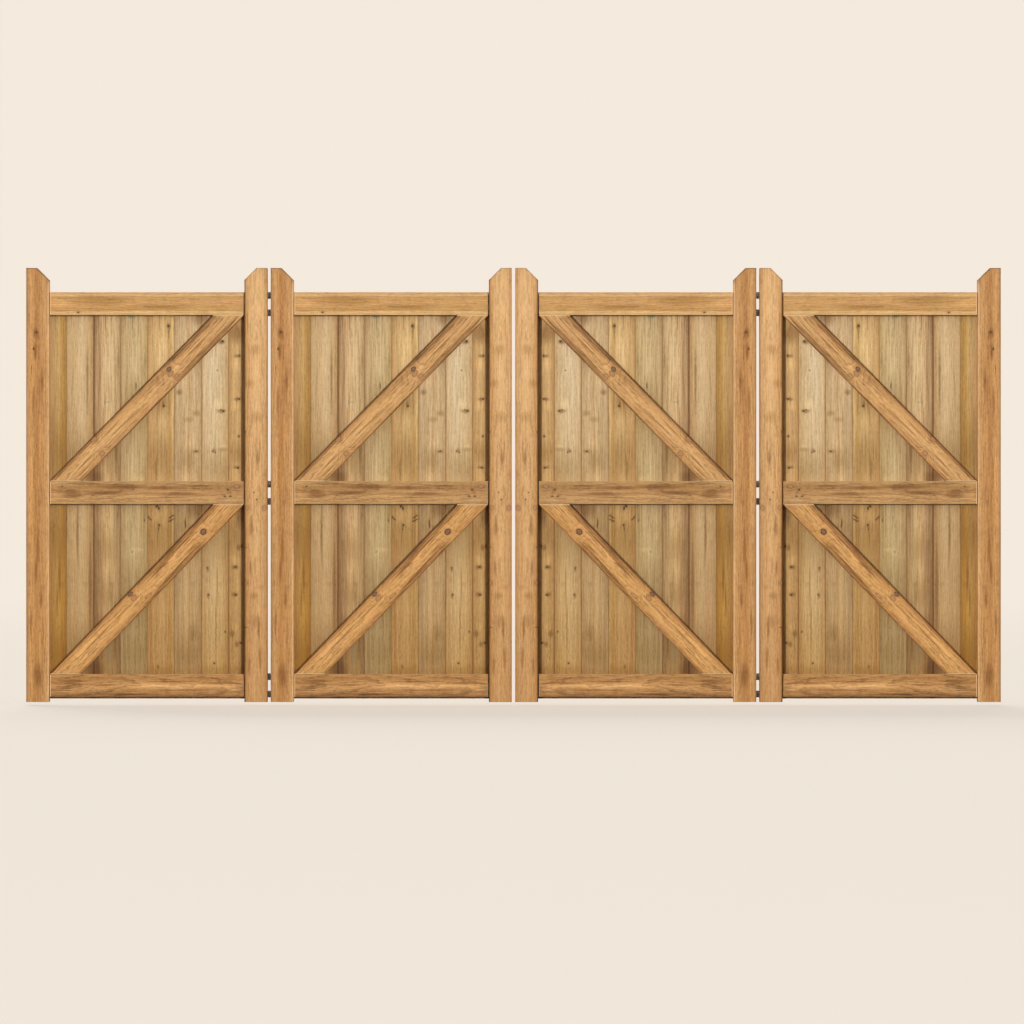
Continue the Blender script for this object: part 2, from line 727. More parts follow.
def board_finish(number: int, streak: float, tones: Stops, lay: RingLay, flaws: tuple[Mark, ...],
                 foot: Triple, head: Triple, edges: Pair = (0.0, 0.0)) -> PineFinish:
    """Gives the finish of one board, counted from the leaf's outer edge.

    Args:
        number: the board's number, from 1 to 8.
        streak: how strongly it is streaked.
        tones: its tones from its outer to its inner edge.
        lay: how its growth rings lie.
        flaws: its knots, pins, patches and smears.
        foot: how much darker it is at the foot.
        head: how much lighter it is at the head.
        edges: dirt in the joints along its outer and inner edges.

    Returns:
        The finish.
    """
    splash = dusks((BOARD_PITCH * number - SPLASH_SIDE, *SPLASH))
    return PineFinish(
        f"pine_board_{number}", "pine_board", tones, lay, foot, head, flaws + splash, vivid=0.7, late=0.16,
        band=0.55, streak=streak, smudge=0.15, ragged=0.12, edges=edges)


# Finishes of the boards, from the outer edge inwards
BOARDS = (
    board_finish(
        1, 0.85,
        ((0.0, (168, 128, 80)), (0.35, (186, 148, 96)), (0.6, (198, 158, 94)), (0.85, (188, 140, 70)),
         (1.0, (170, 126, 66))),
        RingLay(0.12, 0.05, 0.01, 0.0, 200),
        stains((135, 520, 120, 7), (125, 430, 90, 4))
        + dusks((128, 1030, 170, 80), (128, 690, 130, 60), (128, 190, 110, 60)),
        (0.72, 0.58, 0.22), (0.96, 1.01, 1.12)),
    board_finish(
        2, 0.6,
        ((0.0, (188, 152, 106)), (0.3, (204, 168, 122)), (0.6, (208, 174, 130)), (0.82, (198, 160, 112)),
         (1.0, (178, 134, 90))),
        RingLay(-0.1, 0.06, 0.02, 0.0, 180),
        stains((262, 470, 260, 8), (250, 1330, 160, 5), (210, 700, 160, 6), (268, 130, 50, 34),
            (266, 930, 40, 34))
        + dusks((215, 1010, 120, 80), (220, 190, 120, 70)),
        (0.69, 0.6, 0.43), (1.07, 1.11, 1.13)),
    board_finish(
        3, 2.0,
        ((0.0, (150, 114, 74)), (0.16, (172, 134, 92)), (0.4, (208, 170, 122)), (0.7, (206, 172, 124)),
         (0.9, (188, 152, 106)), (1.0, (166, 130, 86))),
        RingLay(0.08, 0.05, -0.01, 0.0, 150),
        smears((322, 1240, 12, 5), (334, 223, 12, 10), (338, 190, 60, 2), (335, 1245, 2, 14))
        + pales((322, 1236, 8, 9), (335, 690, 240, 14))
        + stains((366, 300, 160, 8), (370, 1060, 110, 10), (286, 130, 50, 40), (286, 930, 36, 40))
        + dusks((330, 1010, 110, 70), (330, 200, 150, 80), (330, 640, 80, 40), (330, 450, 75, 32)),
        (0.66, 0.57, 0.41), (1.11, 1.14, 1.19), (0.8, 0.0)),
    board_finish(
        4, 1.5,
        ((0.0, (186, 152, 106)), (0.25, (198, 168, 120)), (0.5, (206, 178, 130)), (0.75, (200, 170, 120)),
         (1.0, (188, 156, 104))),
        RingLay(0.02, 0.05, 0.03, 0.004, 150),
        smears((433, 1600, 9, 24), (437, 622, 8, 8), (432, 900, 14, 5))
        + pins((453, 1312, 13, 2.4), (488, 755, 6, 2.4))
        + pales((440, 618, 20, 14), (462, 632, 9, 26), (470, 925, 14, 20))
        + dusks((444, 420, 160, 70), (444, 190, 120, 60), (444, 1200, 140, 70)),
        (0.7, 0.65, 0.54), (1.02, 1.01, 1.03)),
    board_finish(
        5, 1.4,
        ((0.0, (192, 148, 92)), (0.3, (204, 164, 108)), (0.6, (208, 170, 114)), (0.85, (196, 154, 94)),
         (0.93, (214, 176, 114)), (1.0, (190, 148, 94))),
        RingLay(0.0, 0.035, 0.008, 0.03, 120),
        pins((587, 1561, 6, 5), (589, 1528, 26, 1.6), (568, 1228, 5, 5), (540, 812, 6, 7),
            (547, 803, 8, 4), (504, 767, 4, 4), (509, 762, 4, 4), (514, 756, 4, 4), (592, 764, 3, 5),
            (599, 768, 3, 5), (606, 772, 3, 5), (592, 750, 3, 5), (599, 754, 3, 5), (606, 758, 3, 5),
            (549, 734, 6, 5), (547, 718, 8, 2))
        + stains((590, 1560, 16, 10), (566, 1236, 18, 7), (545, 145, 10, 6), (535, 960, 60, 5))
        + pales((560, 1470, 100, 30), (555, 770, 40, 30))
        + dusks((556, 680, 130, 90), (556, 1010, 110, 60), (556, 1240, 60, 36)),
        (0.71, 0.6, 0.42), (1.03, 1.06, 1.13)),
    board_finish(
        6, 1.2,
        ((0.0, (186, 154, 112)), (0.28, (196, 164, 118)), (0.42, (212, 180, 132)),
         (0.54, (196, 160, 112)), (0.7, (204, 172, 126)), (1.0, (190, 156, 110))),
        RingLay(0.05, 0.045, 0.01, 0.006, 150),
        stains((632, 1285, 14, 16), (714, 800, 46, 56), (718, 1592, 40, 36))
        + pins((658, 740, 24, 2.6), (703, 1040, 3, 6))
        + pales((672, 752, 24, 8), (640, 1330, 30, 22), (680, 1070, 30, 16))
        + dusks((672, 1172, 13, 22), (704, 1198, 14, 22), (698, 1039, 12, 22), (664, 1000, 55, 40),
            (664, 730, 140, 90), (664, 190, 90, 60), (690, 275, 46, 26)),
        (0.72, 0.61, 0.44), (1.12, 1.14, 1.23)),
    board_finish(
        7, 0.7,
        ((0.0, (200, 166, 120)), (0.35, (216, 188, 146)), (0.7, (214, 184, 138)), (1.0, (194, 158, 108))),
        RingLay(0.012, 0.03, 0.0, 0.022, 130),
        pins((812, 1497, 6, 6), (790, 1377, 3, 3), (816, 1208, 5, 6), (806, 1212, 3, 4),
            (771, 1040, 3, 3), (783, 1036, 2.5, 3), (749, 556, 4, 3), (756, 444, 3.5, 3.5),
            (778, 160, 4, 4), (823, 290, 4, 3))
        + stains((806, 1494, 12, 18), (806, 1207, 10, 22), (776, 1042, 12, 12), (752, 550, 14, 6),
            (752, 440, 16, 7), (785, 300, 150, 3), (790, 470, 120, 2.5), (736, 806, 30, 44),
            (742, 1596, 36, 44))
        + pales((800, 1240, 24, 20), (810, 1062, 8, 24))
        + dusks((780, 690, 160, 130), (780, 960, 90, 60), (812, 1047, 11, 26)),
        (0.72, 0.56, 0.3), (1.12, 1.16, 1.25), (0.55, 0.0)),
    board_finish(
        8, 1.2,
        ((0.0, (182, 140, 92)), (0.35, (198, 160, 110)), (0.7, (192, 152, 104)), (1.0, (170, 128, 82))),
        RingLay(0.02, 0.04, 0.0, 0.03, 110),
        pins((882, 1436, 5, 5), (881, 1257, 5, 6), (880, 1103, 5, 5), (877, 972, 4, 8), (892, 646, 9, 4),
            (866, 560, 4, 6), (868, 444, 4, 6), (888, 245, 5, 5))
        + stains((870, 1530, 50, 40), (871, 1436, 9, 14), (870, 1257, 9, 13), (868, 974, 9, 15),
            (864, 558, 12, 18), (862, 446, 14, 14), (852, 283, 18, 12), (872, 238, 14, 12),
            (878, 640, 16, 10), (888, 775, 60, 28))
        + pales((864, 1400, 26, 22), (862, 1225, 20, 20), (860, 590, 20, 16), (866, 310, 20, 14))
        + dusks((860, 690, 90, 40), (870, 1030, 50, 24)),
        (0.83, 0.74, 0.52), (1.16, 1.16, 1.1), (0.45, 0.0)),
)


# Timber


@dataclass(frozen=True)
class LeafSizes:
    """The leaf's sizes, in metres."""

    width: float = 1.0
    height: float = 1.8
    stile_w: float = 0.095
    stile_t: float = 0.070
    horn_h: float = 0.100
    horn_cut: float = 0.050
    foot_h: float = 0.020
    rail_w: float = 0.095
    rail_t: float = 0.032
    middle_z: float = 0.868
    brace_w: float = 0.095
    brace_play: float = 0.0015
    brace_gap: float = 0.0004
    tenon_l: float = 0.030
    tenon_inset: float = 0.009
    shoulder_gap: float = 0.0012
    board_t: float = 0.018
    board_cover: float = 0.112
    board_gap: float = 0.0002
    board_drop: float = 0.007
    board_side: float = 0.082
    top_rebate: float = 0.020
    rebate_w: float = 0.015
    rebate_play: float = 0.001
    tongue_l: float = 0.007
    tongue_t: float = 0.005
    tongue_play: float = 0.001
    vee: float = 0.0015
    arris: float = 0.003
    end_arris: float = 0.0045
    soak: float = 0.0045
    chamfer: float = 0.006
    stile_bow: float = 0.0005
    bow: float = 0.0004
    nail_r: Pair = (0.0034, 0.0022)
    nail_h: float = 0.0014
    nail_sink: float = 0.0006
    nail_sides: int = 10
    nail_side: float = 0.1
    nail_drop: float = 0.035

    @property
    def face_t(self) -> float:
        """Gives the depth from the braced face to the boards."""
        return self.stile_t - self.board_t

    @property
    def rail_y(self) -> float:
        """Gives the depth from the braced face to the rails and braces."""
        return self.face_t - self.rail_t

    @property
    def top_z(self) -> float:
        """Gives the height of the top rail's lower edge."""
        return self.height - self.horn_h - self.rail_w

    @property
    def middle_low(self) -> float:
        """Gives the height of the middle rail's lower edge."""
        return self.middle_z - self.rail_w / 2

    @property
    def opening(self) -> float:
        """Gives the clear width between the stiles."""
        return self.width - 2 * self.stile_w

    @property
    def board_low(self) -> float:
        """Gives the height of the boards' lower ends."""
        return self.foot_h - self.board_drop

    @property
    def board_high(self) -> float:
        """Gives the height of the boards' upper ends."""
        return self.top_z + self.top_rebate

    @property
    def rebate_high(self) -> float:
        """Gives the height of the rebate's upper end."""
        return self.board_high + self.rebate_play

    @property
    def joints(self) -> list[float]:
        """Gives the places of the boards' edges, from the outer one to the inner one."""
        whole = [2 * self.board_side + i * self.board_cover for i in range(len(BOARDS) - 1)]
        return [self.board_side, *whole, self.width - self.board_side]


UP, ACROSS, BACK = Vector((0, 0, 1)), Vector((1, 0, 0)), Vector((0, 1, 0))
NEAR = 1e-4
WELD = 1e-6
SHARP = 0.4
FACING = 0.9
EASED_TURN = (-0.97, -0.15)
EASED_DEPTH = 0.012
END_TURN = 0.15
HORN_TURN = 0.3
BOW_PACE = (1.7, 3.1, 2.0)
DENT_PACE = (23.0, 31.0, 40.0)
DENT_SHARE = 0.35
DENT_SEED = 7
RAIL_SEED = 7
BRACE_SEED = 5
BOARD_SEED = 10.0


def bevel(mesh: Mesh, edges: list[bmesh.types.BMEdge], size: float, segments: int) -> None:
    """Rounds edges of a mesh.

    Args:
        mesh: the mesh.
        edges: the edges.
        size: width taken off each side of an edge.
        segments: number of facets across the rounding.
    """
    bmesh.ops.bevel(mesh, geom=edges, offset=size, offset_type="OFFSET", segments=segments, profile=0.5,
                    affect="EDGES", clamp_overlap=True, material=-1)


def settle(mesh: Mesh, name: str, coat: bpy.types.Material, body: str, node: str = "") -> Piece:
    """Makes a piece, adds it to the scene and says what carries it.

    Args:
        mesh: the finished mesh, which is used up.
        name: the piece's name.
        coat: its material.
        body: the CAD body that it moves with.
        node: the CAD node that it stands for, if there is one.

    Returns:
        The piece.
    """
    data = bpy.data.meshes.new(name)
    mesh.to_mesh(data)
    mesh.free()
    data.materials.append(coat)
    piece = bpy.data.objects.new(name, data)
    bpy.context.scene.collection.objects.link(piece)
    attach(piece, body)
    if node:
        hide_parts(node)
    LOG.info("%s rides on %s", name, body)
    return piece


@dataclass
class Plank:
    """A length of pine that is cut to shape in leaf coordinates."""

    name: str
    middle: Vector
    length: float
    thick: float
    width: float
    finish: PineFinish
    along: Vector = field(default_factory=UP.copy)
    across: Vector = field(default_factory=ACROSS.copy)
    face_y: float = field(init=False)
    mesh: Mesh = field(init=False)

    def __post_init__(self) -> None:
        """Saws the plank's plain block."""
        sides = (self.along * self.length, BACK * self.thick, self.across * self.width)
        turned = Matrix(sides).transposed().to_4x4()
        self.face_y = self.middle.y - self.thick / 2
        self.mesh = bmesh.new()
        bmesh.ops.create_cube(self.mesh, size=1.0, matrix=Matrix.Translation(self.middle) @ turned)
        self.tidy()

    def tidy(self) -> None:
        """Points all faces outwards."""
        bmesh.ops.recalc_face_normals(self.mesh, faces=self.mesh.faces)
        self.mesh.normal_update()

    def on_face(self, x: float, z: float) -> Pair:
        """Gives a leaf place as distances along the plank from its end and across it from its middle."""
        off = Vector((x, 0, z)) - Vector((self.middle.x, 0, self.middle.z))
        return off.dot(self.along) + self.length / 2, off.dot(self.across)

    def cut(self, point: Triple, normal: Triple, remove: bool = False) -> None:
        """Divides the plank's faces along a plane.

        Args:
            point: a point on the plane.
            normal: the way that the plane looks.
            remove: whether what lies beyond it comes off, and the cut is closed.
        """
        parts = [*self.mesh.verts, *self.mesh.edges, *self.mesh.faces]
        bmesh.ops.bisect_plane(self.mesh, geom=parts, dist=WELD, plane_co=point, plane_no=normal,
                               clear_outer=remove)
        if remove:
            rim = [e for e in self.mesh.edges if e.is_boundary]
            bmesh.ops.holes_fill(self.mesh, edges=rim, sides=0)
            self.tidy()

    def ease(self, size: float, segments: int, test: Test) -> None:
        """Rounds the sharp edges whose middles pass a test.

        Args:
            size: width taken off each side of the edge.
            segments: number of facets across the rounding.
            test: says whether an edge with this middle is rounded.
        """
        sharp = [e for e in self.mesh.edges if e.is_manifold and e.calc_face_angle() > SHARP]
        bevel(self.mesh, [e for e in sharp if test((e.verts[0].co + e.verts[1].co) / 2)], size, segments)
        self.mesh.normal_update()

    def draw_out(self, faces: list[bmesh.types.BMFace], shift: Vector) -> None:
        """Extrudes faces.

        Args:
            faces: the faces.
            shift: how far and which way they are drawn out.
        """
        drawn = bmesh.ops.extrude_face_region(self.mesh, geom=faces)["geom"]
        corners = [g for g in drawn if isinstance(g, bmesh.types.BMVert)]
        bmesh.ops.translate(self.mesh, vec=shift, verts=corners)
        self.mesh.normal_update()

    def looking(self, way: Vector, test: Test) -> list[bmesh.types.BMFace]:
        """Gives the faces that look one way and whose middles pass a test."""
        return [f for f in self.mesh.faces if f.normal.dot(way) > FACING and test(f.calc_center_median())]

    def tenon(self, inset: float, length: float) -> None:
        """Cuts a stub tenon on both ends of a level rail.

        Args:
            inset: width of the shoulder round the tenon.
            length: the tenon's length.
        """
        for out in (-self.along, self.along):
            ends = self.looking(out, lambda p: (p - self.middle).dot(out) > self.length / 2 - NEAR)
            bmesh.ops.inset_region(self.mesh, faces=ends, thickness=inset, use_even_offset=True)
            self.draw_out(ends, out * length)

    def slice(self, step: float) -> None:
        """Divides the plank at even steps along its length, so that it can bow.

        Args:
            step: shortest length of a step.
        """
        count = int(self.length / step)
        start = self.middle - self.along * self.length / 2
        for i in range(1, count):
            self.cut(start + self.along * (self.length * i / count), self.along)

    def season(self, amount: float, seed: float) -> None:
        """Gives the plank the small bow, cup and dents of dried timber.

        Args:
            amount: largest shift of the slow bow.
            seed: number that sets this plank apart from the others.
        """
        for vert in self.mesh.verts:
            run, side = self.on_face(vert.co.x, vert.co.z)
            slow = Vector((run * BOW_PACE[0], seed * BOW_PACE[1], side * BOW_PACE[2]))
            quick = Vector((run * DENT_PACE[0], side * DENT_PACE[1], vert.co.y * DENT_PACE[2] + seed))
            vert.co.y += amount * noise.noise(slow)
            vert.co += noise.noise_vector(quick) * amount * DENT_SHARE

    def grain(self, soaked: Test = lambda p: False, depth: float = 0.0) -> None:
        """Writes where each point lies in the plank, its worn edges and its end grain.

        Args:
            soaked: says whether a face with this middle lies close to soaked end grain.
            depth: how dark such a face is, from 0 to 1.
        """
        self.mesh.normal_update()
        place = self.mesh.verts.layers.float_vector.new("grain")
        worn = self.mesh.faces.layers.float.new("arris")
        ends = self.mesh.faces.layers.float.new("endgrain")
        for vert in self.mesh.verts:
            run, side = self.on_face(vert.co.x, vert.co.z)
            vert[place] = Vector((run, side, vert.co.y - self.face_y))
        steep = HORN_TURN if self.along.z > FACING else FACING
        for face in self.mesh.faces:
            middle = face.calc_center_median()
            ahead = abs(face.normal.dot(self.along))
            eased = EASED_TURN[0] < face.normal.y < EASED_TURN[1] and middle.y < self.face_y + EASED_DEPTH
            face[worn] = (2.0 if ahead > END_TURN else 1.0) if eased else 0.0
            face[ends] = 1.0 if ahead > steep else (depth if soaked(middle) else 0.0)
            face.smooth = False

    def stand(self, place: "LeafPlace", node: str) -> Piece:
        """Sets the plank up on its leaf as a finished piece.

        Args:
            place: the leaf that it belongs to.
            node: the CAD node that it stands for, without its leaf.

        Returns:
            The piece.
        """
        bmesh.ops.transform(self.mesh, matrix=place.matrix(), verts=self.mesh.verts)
        self.tidy()
        coat = self.finish.material(self)
        name, shown = place.named(self.name), place.named(node)
        return settle(self.mesh, name, coat, place.body, shown)


class Hand(Enum):
    """Which way a leaf's outer edge looks."""

    LEFT = 1.0
    RIGHT = -1.0


@dataclass(frozen=True)
class LeafPlace:
    """Where a leaf stands: its number from the left, its hand and its body."""

    number: int
    hand: Hand
    body: str

    def named(self, part: str) -> str:
        """Gives the full name of one of the leaf's parts."""
        return f"leaf_{self.number}_{part}"

    def matrix(self) -> Matrix:
        """Gives the move from leaf coordinates to the frame.

        Returns:
            The move, which also mirrors a right-hand leaf.
        """
        low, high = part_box(self.named("outer_stile"))
        edge = low.x if self.hand is Hand.LEFT else high.x
        return Matrix.Translation((edge, low.y, low.z)) @ Matrix.Diagonal((self.hand.value, 1.0, 1.0, 1.0))


class StileSide(Enum):
    """The leaf's two stiles, with the seed of each one's bow and the darkness of its soaked horn."""

    OUTER = (1.0, 0.75)
    INNER = (2.0, 0.35)


@dataclass
class Leaf:
    """A framed, ledged and braced leaf: two stiles, three rails, two braces and eight boards."""

    place: LeafPlace
    sizes: LeafSizes = LeafSizes()
    step: float = 0.05
    cup_lines: Pair = (-0.18, 0.18)
    nail_spots: tuple[Pair, Pair] = ((0.26, 0.55), (0.74, 0.45))

    def stile(self, side: StileSide) -> Piece:
        """Builds a stile with its cut horn, chamfered inner corner and rebate for the boards.

        Args:
            side: which of the two stiles.

        Returns:
            The piece.
        """
        s = self.sizes
        outer = side is StileSide.OUTER
        name = f"{side.name.lower()}_stile"
        middle = Vector((s.stile_w / 2, s.face_t / 2, s.height / 2))
        plank = Plank(name, middle, s.height, s.face_t, s.stile_w, OUTER_STILE if outer else INNER_STILE)
        plank.cut((s.stile_w - s.horn_cut, 0, s.height), (1, 0, 1), remove=True)
        plank.ease(s.chamfer, 2, lambda p: p.y < NEAR and p.x > s.stile_w - NEAR)
        plank.ease(s.arris, 3, lambda p: p.y < NEAR)
        side_x = s.stile_w - s.rebate_w
        high, low = s.rebate_high, s.board_low - s.rebate_play
        plank.cut((side_x, 0, 0), ACROSS)
        plank.cut((0, 0, high), UP)
        plank.cut((0, 0, low), UP)
        kept: Test = lambda p: p.x < side_x or not low < p.z < high
        rear = plank.looking(BACK, lambda p: p.y > s.face_t - NEAR and kept(p))
        plank.draw_out(rear, BACK * s.board_t)
        plank.ease(s.arris, 2, lambda p: p.y > s.stile_t - NEAR and (p.x < NEAR or p.z > high + NEAR))
        wet = s.height - s.soak
        slant = s.stile_w - s.horn_cut + s.height - s.soak * math.sqrt(2)
        plank.cut((0, 0, wet), UP)
        plank.cut((0, 0, slant), (1, 0, 1))
        plank.slice(self.step)
        if not outer:
            bmesh.ops.scale(plank.mesh, vec=(-1, 1, 1), verts=plank.mesh.verts)
            bmesh.ops.translate(plank.mesh, vec=(s.width, 0, 0), verts=plank.mesh.verts)
            plank.middle.x = s.width - plank.middle.x
            plank.tidy()
        seed, depth = side.value
        plank.season(s.stile_bow, seed)
        plank.grain(lambda p: p.z > wet or (p.x if outer else s.width - p.x) + p.z > slant, depth)
        return plank.stand(self.place, name)

    def finished(self, plank: Plank, seed: float, node: str) -> Piece:
        """Bows a plank that is cut to shape and sets it up in place of a CAD node.

        Args:
            plank: the plank.
            seed: number that sets its bow apart from the others.
            node: the CAD node that it stands for, without its leaf.

        Returns:
            The piece.
        """
        plank.slice(self.step)
        plank.season(self.sizes.bow, seed)
        plank.grain()
        return plank.stand(self.place, node)

    def rail(self, name: str, low: float, finish: PineFinish) -> Piece:
        """Builds a rail with its tenons; the top one also reaches back over the boards.

        Args:
            name: the rail's name.
            low: height of its lower edge.
            finish: its finish.

        Returns:
            The piece.
        """
        s = self.sizes
        middle = Vector((s.width / 2, s.rail_y + s.rail_t / 2, low + s.rail_w / 2))
        length = s.opening - 2 * s.shoulder_gap
        plank = Plank(name, middle, length, s.rail_t, s.rail_w, finish, ACROSS.copy(), UP.copy())
        front: Test = lambda p: p.y < s.rail_y + NEAR
        plank.ease(s.end_arris, 2, lambda p: front(p) and abs(p.x - s.width / 2) > length / 2 - NEAR)
        plank.ease(s.arris, 3, front)
        plank.tenon(s.tenon_inset, s.tenon_l)
        if low == s.top_z:
            plank.cut((0, 0, s.rebate_high), UP)
            lip = plank.looking(BACK, lambda p: p.y > s.face_t - NEAR and p.z > s.rebate_high)
            plank.draw_out(lip, BACK * s.board_t)
        return self.finished(plank, low * RAIL_SEED, name)

    def brace(self, name: str, low: float, high: float, finish: PineFinish) -> Piece:
        """Builds a brace from the outer lower corner to the inner upper corner of an opening.

        Args:
            name: the brace's name.
            low: height of the opening's lower edge.
            high: height of the opening's upper edge.
            finish: its finish.

        Returns:
            The piece.
        """
        s = self.sizes
        rise = high - low
        slope = math.atan2(rise, s.opening) + math.asin(s.brace_w / math.hypot(s.opening, rise))
        along = Vector((math.cos(slope), 0, math.sin(slope)))
        middle = Vector((s.width / 2, s.rail_y + s.rail_t / 2, (low + high) / 2))
        across = Vector((-along.z, 0, along.x))
        width = s.brace_w - s.brace_play
        plank = Plank(name, middle, s.opening + rise, s.rail_t, width, finish, along, across)
        plank.cut((0, 0, low + s.brace_gap), -UP, remove=True)
        plank.cut((0, 0, high - s.brace_gap), UP, remove=True)
        plank.ease(s.arris, 3, lambda p: p.y < s.rail_y + NEAR)
        return self.finished(plank, low * BRACE_SEED + 1, name)

    def board(self, index: int) -> Piece:
        """Builds a tongued and grooved board with V joints.

        Args:
            index: the board's number, counted from 0 at the outer edge.

        Returns:
            The piece.
        """
        s = self.sizes
        last = len(BOARDS) - 1
        start = s.joints[index] + (s.board_gap / 2 if index else 0.0)
        stop = s.joints[index + 1] - (s.board_gap / 2 if index < last else 0.0)
        tall = s.board_high - s.board_low
        middle = Vector(((start + stop) / 2, s.face_t + s.board_t / 2, s.board_low + tall / 2))
        plank = Plank(f"board_{index + 1}", middle, tall, s.board_t, stop - start, BOARDS[index])
        free = [x for x, shut in ((start, index == 0), (stop, index == last)) if shut]
        plank.ease(s.vee, 2, lambda p: abs(p.z - middle.z) < NEAR and all(abs(p.x - x) > NEAR for x in free))
        for y in (middle.y - s.tongue_t / 2, middle.y + s.tongue_t / 2):
            plank.cut((0, y, 0), BACK)
        inside: Test = lambda p: abs(p.y - middle.y) < s.tongue_t / 2
        if index < last:
            plank.draw_out(plank.looking(ACROSS, inside), ACROSS * s.tongue_l)
        if index:
            plank.draw_out(plank.looking(-ACROSS, inside), ACROSS * (s.tongue_l + s.tongue_play))
        for share in self.cup_lines:
            plank.cut((middle.x + share * plank.width, 0, 0), ACROSS)
        return self.finished(plank, index + BOARD_SEED, "boards")

    def nails(self) -> Piece:
        """Drives two nails through each board into each rail, from the boarded side.

        Returns:
            The piece that holds all the nails.
        """
        s = self.sizes
        mesh = bmesh.new()
        turn = Matrix.Rotation(-math.pi / 2, 4, "X")
        levels = (s.foot_h, s.middle_low, s.top_z - s.nail_drop)
        boards = zip(s.joints, s.joints[1:])
        for low, (left, right), (share, lift) in product(levels, boards, self.nail_spots):
            x = min(max(left + (right - left) * share, s.nail_side), s.width - s.nail_side)
            spot = Matrix.Translation((x, s.stile_t - s.nail_sink, low + s.rail_w * lift))
            stud(mesh, spot @ turn, s.nail_r, s.nail_h, s.nail_sides)
        bmesh.ops.transform(mesh, matrix=self.place.matrix(), verts=mesh.verts)
        return fastening(mesh, self.place.named("nails"), self.place.body)

    def build(self) -> list[Piece]:
        """Builds the leaf's pieces.

        Returns:
            The pieces.
        """
        s = self.sizes
        made = [self.stile(side) for side in StileSide]
        made.append(self.rail("top_rail", s.top_z, TOP_RAIL))
        made.append(self.rail("middle_rail", s.middle_low, MIDDLE_RAIL))
        made.append(self.rail("bottom_rail", s.foot_h, BOTTOM_RAIL))
        made.append(self.brace("upper_brace", s.middle_low + s.rail_w, s.top_z, UPPER_BRACE))
        made.append(self.brace("lower_brace", s.foot_h + s.rail_w, s.middle_low, LOWER_BRACE))
        made += [self.board(i) for i in range(len(BOARDS))]
        made.append(self.nails())
        return made


# Ironmongery


STEEL_FLAT = 0.01
STEEL_SMOOTH = 0.55
STEEL_SHARP = 0.7


def stud(mesh: Mesh, seat: Matrix, radii: Pair, height: float, sides: int) -> list[bmesh.types.BMVert]:
    """Adds a short tapered stud to a mesh.

    Args:
        mesh: the mesh.
        seat: the place and turn of its foot; it rises along Z.
        radii: its radius at the foot and at the top.
        height: its height.
        sides: its number of sides.

    Returns:
        Its corners.
    """
    middle = seat @ Matrix.Translation((0, 0, height / 2))
    return bmesh.ops.create_cone(mesh, cap_ends=True, segments=sides, radius1=radii[0], radius2=radii[1],
                                 depth=height, matrix=middle)["verts"]


def fastening(mesh: Mesh, name: str, body: str, node: str = "") -> Piece:
    """Makes a zinc piece of a finished mesh.

    Args:
        mesh: the finished mesh, which is used up.
        name: the piece's name.
        body: the CAD body that it moves with.
        node: the CAD node that it stands for, if there is one.

    Returns:
        The piece.
    """
    bmesh.ops.recalc_face_normals(mesh, faces=mesh.faces)
    for face in mesh.faces:
        face.smooth = True
    for edge in mesh.edges:
        edge.smooth = edge.calc_face_angle(0.0) < STEEL_SMOOTH
    return settle(mesh, name, ZINC.material(), body, node)


class Head(Enum):
    """The screw heads: radius, height, number of sides and share of the height that is rounded."""

    HEX = (0.0078, 0.0052, 6, 0.35)
    PAN = (0.0056, 0.0030, 20, 0.8)
    DOME = (0.0064, 0.0028, 24, 0.8)


